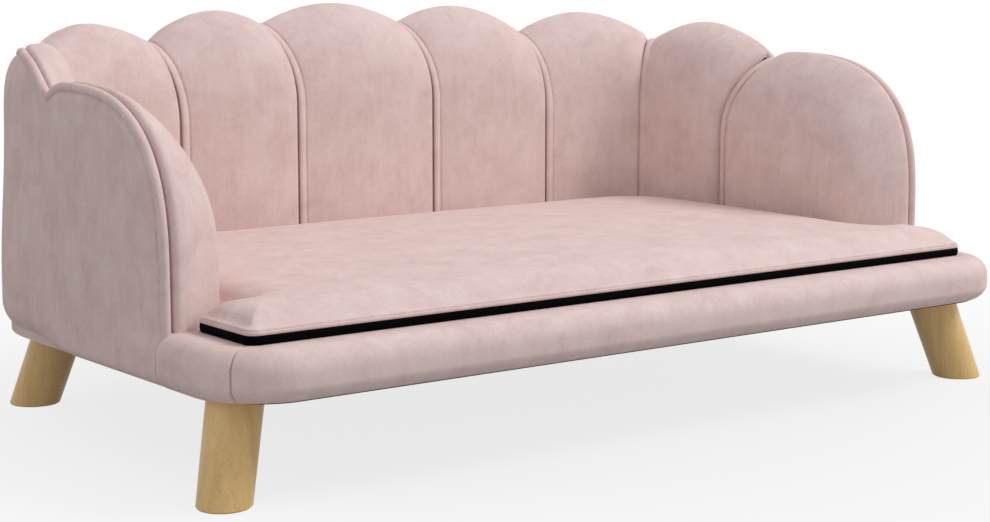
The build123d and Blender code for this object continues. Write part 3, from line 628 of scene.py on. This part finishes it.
def noseOutline(inset, z, upward=0.0):
    # from the right end round the front to the left end; upward is how far the surface faces up
    radius = nose["corner"] - inset
    centreX, centreY = nose["half"] - nose["corner"], nose["front"] + nose["corner"]
    ends = (0, 1, 2, 3.5, 5, 7, 10, 15, 22, 30)         # millimetres forward from the joint with the panel
    right = []
    for step in ends:
        gap = max(nose["stand"] - step / 1000, 0)       # the end curls in beside the panel
        right.append((nose["half"] - inset - 2 * bowl(nose["stand"], gap), nose["back"] - step / 1000, 0))
    sideFrom = nose["back"] - ends[-1] / 1000
    right += [(nose["half"] - inset, between(sideFrom, centreY, i / nose["sideRows"]), 0)
              for i in range(1, nose["sideRows"])]
    beside = (-3, -1.5, -1, -0.6, -0.3, 0, 0.3, 0.6, 1, 1.5, 3)         # degrees from the corner seam
    turns = [quarter(i, nose["cornerRows"]) for i in range(nose["cornerRows"] + 1)]
    turns += [radians(nose["seamTurn"] + away) for away in beside]
    for turn in sorted(turns):
        off = (turn - radians(nose["seamTurn"])) / radians(nose["seamWidth"])
        groove = nose["groove"] * exp(-off ** 2)
        level = radius - groove * sqrt(1 - upward ** 2)
        right.append((centreX + level * cos(turn), centreY - level * sin(turn), -groove * upward))
    # underneath, the cover hangs a little lower at the sides than along the front
    lift = nose["lift"] * smoothly((nose["low"] + nose["liftBelow"] - z) / nose["liftOver"])
    rightSide = [Vector((x, y, z + sink + lift * smoothly((nose["liftFrom"] - y) / nose["liftAlong"])))
                 for x, y, sink in right]
    front = [Vector((between(centreX, -centreX, i / nose["frontRows"]), nose["front"] + inset, z + lift))
             for i in range(1, nose["frontRows"])]
    leftSide = [Vector((-p.x, p.y, p.z)) for p in reversed(rightSide)]
    rear = [Vector((between(leftSide[-1].x, rightSide[0].x, i / nose["rearRows"]), nose["back"], z))
            for i in range(1, nose["rearRows"])]
    return rightSide + front + leftSide + rear


# insets and heights from the middle of the underside, round the front, to the middle of the top
levels = [(inset, nose["low"]) for inset in (0.06, 0.03, 0.02)]
for i in range(nose["underRows"] + 1):
    turn = quarter(i, nose["underRows"])
    inset, above = nose["under"] * (1 - sin(turn)), nose["under"] * (1 - cos(turn))
    levels.append((inset, nose["low"] + above, -cos(turn)))
for i in range(nose["topRows"] + 1):
    turn = quarter(i, nose["topRows"])
    inset, down = nose["top"] * (1 - cos(turn)), nose["top"] * (1 - sin(turn))
    levels.append((inset, nose["high"] - down, sin(turn)))
levels += [(inset, nose["high"], 1) for inset in (0.025, 0.035, 0.045)]
levels.append((0.06, nose["high"]))
pieces["baseNose"] = skin("baseNose", [noseOutline(*level) for level in levels])
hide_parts("front_cover", "front_foam")


# The covered seat behind it, under the cushion and inside the wall.
seat = {"inset": 0.008, "over": 0.0008, "down": 0.0002, "cornerRows": 16}


def seatOutline(inset, z):
    radius = wall["corner"] - inset
    points = [Vector((wall["half"] - inset, nose["back"], z))]
    for i in range(seat["cornerRows"] + 1):
        turn = quarter(i, seat["cornerRows"])
        x, y = wall["straight"] + radius * cos(turn), wall["cornerY"] + radius * sin(turn)
        points.append(Vector((x, y, z)))
    return points + [Vector((-p.x, p.y, z)) for p in reversed(points)]


heights = (wall["bottom"] + seat["over"], nose["high"] - seat["down"])
rings = [seatOutline(seat["inset"], z) for z in heights]
pieces["seatDeck"] = skin("seatDeck", rings)
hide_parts("seat_cover", "seat_foam")
print("base done")


# Loose cushion: a black border below, and a crowned velvet top with a hem above it.
pad = {"side": 0.3977, "wing": 0.4465, "front": -0.2615, "notch": -0.167, "back": 0.2237, "corner": 0.012,
       "notchRadius": 0.012, "backRadius": 0.0887, "smallest": 0.004, "low": 0.1388, "band": 0.1468,
       "rise": 0.0225, "over": 0.045, "fullness": (2.3, 3), "crown": 0.005, "bandBulge": 0.0004,
       "slope": 0.012, "hem": 0.0034, "rim": 0.0012, "rimSlope": 0.4, "middleY": -0.02, "least": 0.0002,
       "frontRows": 30, "cornerRows": 10, "notchRows": 6, "hollowRows": 8, "sideRows": 20, "rearRows": 12,
       "backRows": 26}


def padOutline(inset, z):
    # from the middle of the front, round the right side to the middle of the back, and round the left side
    side, wing = pad["side"] - inset, pad["wing"] - inset
    front, notch, back = pad["front"] + inset, pad["notch"] - inset, pad["back"] - inset
    convex = min(max(pad["corner"] - inset, pad["smallest"]), (notch - front) / 2 - pad["least"])
    hollow = pad["notchRadius"] + inset
    rear = max(pad["backRadius"] - inset, pad["smallest"])
    points = [(0, front)]

    def arc(x, y, radius, first, last, steps):
        for i in range(steps + 1):
            turn = radians(between(first, last, i / steps))
            points.append((x + radius * cos(turn), y + radius * sin(turn)))

    def straight(x, y, steps):
        start = points[-1]
        for i in range(1, steps):
            points.append((between(start[0], x, i / steps), between(start[1], y, i / steps)))

    straight(wing - convex, front, pad["frontRows"])
    arc(wing - convex, front + convex, convex, -90, 0, pad["cornerRows"])
    arc(wing - convex, notch - convex, convex, 0, 90, pad["cornerRows"])
    straight(side + hollow, notch, pad["notchRows"])
    arc(side + hollow, notch + hollow, hollow, 270, 180, pad["hollowRows"])
    straight(side, back - rear, pad["sideRows"])
    arc(side - rear, back - rear, rear, 0, 90, pad["rearRows"])
    straight(0, back, pad["backRows"])
    half = [Vector((x, y, z)) for x, y in points]
    return half + [Vector((0, back, z))] + [Vector((-p.x, p.y, z)) for p in reversed(half[1:])]


def swollen(inset, fullness):
    return pad["rise"] * (1 - (1 - min(inset / pad["over"], 1)) ** fullness)


def padHeight(x, y, inset, sideways=0.0):
    # the ends slope up to a crease, the front and back swell in one curve
    side = swollen(max(inset, pad["slope"]), pad["fullness"][1]) * min(inset / pad["slope"], 1)
    lift = between(swollen(inset, pad["fullness"][0]), side, sideways)
    depth = (pad["back"] - pad["front"]) / 2
    crown = max(1 - (x / pad["wing"]) ** 2, 0) * max(1 - ((y - pad["back"] + depth) / depth) ** 2, 0)
    return pad["band"] + lift + pad["crown"] * crown


# the hem, as insets and heights above the border
hem = [(0.012, 0), (0.0008, 0), (0, 0.0008), (0.0001, pad["hem"] - 0.0004), (0.0005, pad["hem"]),
       (0.0013, pad["hem"] + 0.0002), (0.0012, pad["hem"] + 0.001)]
rings = [padOutline(inset, pad["band"] + above) for inset, above in hem]
for inset in (0.0016, 0.0025, 0.004, 0.006, 0.0085, 0.0115, 0.0125, 0.0155, 0.0185, 0.023, 0.028, 0.033,
              0.038, 0.042, pad["over"]):
    ring = padOutline(inset, 0)
    lowest = pad["band"] + pad["hem"] + pad["rim"] + pad["rimSlope"] * inset
    raised = []
    for i, p in enumerate(ring):
        along = ring[(i + 1) % len(ring)] - ring[i - 1]
        sideways = (along.y / along.length) ** 2
        raised.append(Vector((p.x, p.y, max(padHeight(p.x, p.y, inset, sideways), lowest))))
    rings.append(raised)
last = rings[-1]
limit = pad["side"] - pad["over"]                           # past this the wings are covered already
for share in (0.93, 0.85, 0.75, 0.62, 0.48, 0.34, 0.2, 0.08):
    ring = []
    for p in last:
        x, y = max(-limit, min(p.x, limit)) * share, between(pad["middleY"], p.y, share)
        ring.append(Vector((x, y, padHeight(x, y, 1))))
    rings.append(ring)
pieces["cushionTop"] = skin("cushionTop", rings)
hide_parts("cushion_top", "cushion_core")

border = [(0.02, pad["low"]), (0.001, pad["low"]), (0.0002, pad["low"] + 0.0008),
          (-pad["bandBulge"], (pad["low"] + pad["band"]) / 2),
          (0.0002, pad["band"] - 0.0006), (0.001, pad["band"]), (0.02, pad["band"])]
pieces["cushionBorder"] = skin("cushionBorder", [padOutline(*level) for level in border])
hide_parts("cushion_base")
print("cushion done")

for name, obj in pieces.items():
    black = name == "cushionBorder"
    dress(obj, tape if black else velvet)
    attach(obj, "cushion" if name.startswith("cushion") else "sofa")


# Floor and light: one large soft lamp high on the right, and an even white surrounding.
studio = {"floor": "#B9B9B9", "floorSize": 60, "white": 1.02, "fill": 0.6, "key": 184, "keySize": 2.2,
          "keyPlace": (3.4, -2.3, 4.6), "aim": (0, 0, 0.2), "shadow": 0.22, "near": 0.4, "far": 1.3}


def backdropRays(material):
    # 1 for the rays that should meet a white background: the camera's, and those off metal or through glass
    rays = addNode(material, "ShaderNodeLightPath")
    direct = addNode(material, "ShaderNodeMath", {"operation": "MAXIMUM"},
                     {0: rays.outputs["Is Camera Ray"], 1: rays.outputs["Is Transmission Ray"]})
    either = addNode(material, "ShaderNodeMath", {"operation": "MAXIMUM"},
                     {0: direct.outputs[0], 1: rays.outputs["Is Glossy Ray"]})
    return either.outputs[0]


bpy.ops.object.select_all(action="DESELECT")
bpy.ops.mesh.primitive_plane_add(size=studio["floorSize"], location=(0, 0, 0))
floor = bpy.context.object
floor.name = "floor"
floorMaterial, floorShader = newMaterial("PaleFloor")
floorShader.inputs["Base Color"].default_value = linear(studio["floor"])
floorShader.inputs["Roughness"].default_value = 0.9
floorShader.inputs["Specular IOR Level"].default_value = 0
# to the camera the floor is white, and keeps part of the shadow near the sofa
place = addNode(floorMaterial, "ShaderNodeTexCoord")
away = addNode(floorMaterial, "ShaderNodeVectorMath", {"operation": "LENGTH"}, {0: place.outputs["Object"]})
spread = {"From Min": studio["near"], "From Max": studio["far"], "To Min": studio["shadow"], "To Max": 0}
fade = addNode(floorMaterial, "ShaderNodeMapRange", spread, {"Value": away.outputs["Value"]})
unseen = addNode(floorMaterial, "ShaderNodeMath", {"operation": "SUBTRACT", 0: 1},
                 {1: backdropRays(floorMaterial)})
kept = addNode(floorMaterial, "ShaderNodeMath", {"operation": "MAXIMUM"},
               {0: fade.outputs[0], 1: unseen.outputs[0]})
white = addNode(floorMaterial, "ShaderNodeEmission",
                {"Color": linear("#FFFFFF"), "Strength": studio["white"]})
both = addNode(floorMaterial, "ShaderNodeMixShader", None,
               {0: kept.outputs[0], 1: white.outputs[0], 2: floorShader.outputs[0]})
link(floorMaterial, both.outputs[0], floorMaterial.node_tree.nodes["Material Output"].inputs["Surface"])
floor.data.materials.append(floorMaterial)

world = bpy.data.worlds.new("Studio")
bpy.context.scene.world = world
world.use_nodes = True
sky = world.node_tree.nodes["Background"]
sky.inputs["Color"].default_value = linear("#FFFFFF")
sky.inputs["Strength"].default_value = studio["fill"]
bright = addNode(world, "ShaderNodeBackground", {"Color": linear("#FFFFFF"), "Strength": studio["white"]})
both = addNode(world, "ShaderNodeMixShader", None,
               {0: backdropRays(world), 1: sky.outputs[0], 2: bright.outputs[0]})
link(world, both.outputs[0], world.node_tree.nodes["World Output"].inputs["Surface"])

bpy.ops.object.light_add(type="AREA", location=studio["keyPlace"])
key = bpy.context.object
key.data.energy = studio["key"]
key.data.size = studio["keySize"]
key.rotation_euler = (Vector(studio["aim"]) - Vector(studio["keyPlace"])).to_track_quat("-Z", "Y").to_euler()

bpy.context.scene.view_settings.view_transform = "Standard"
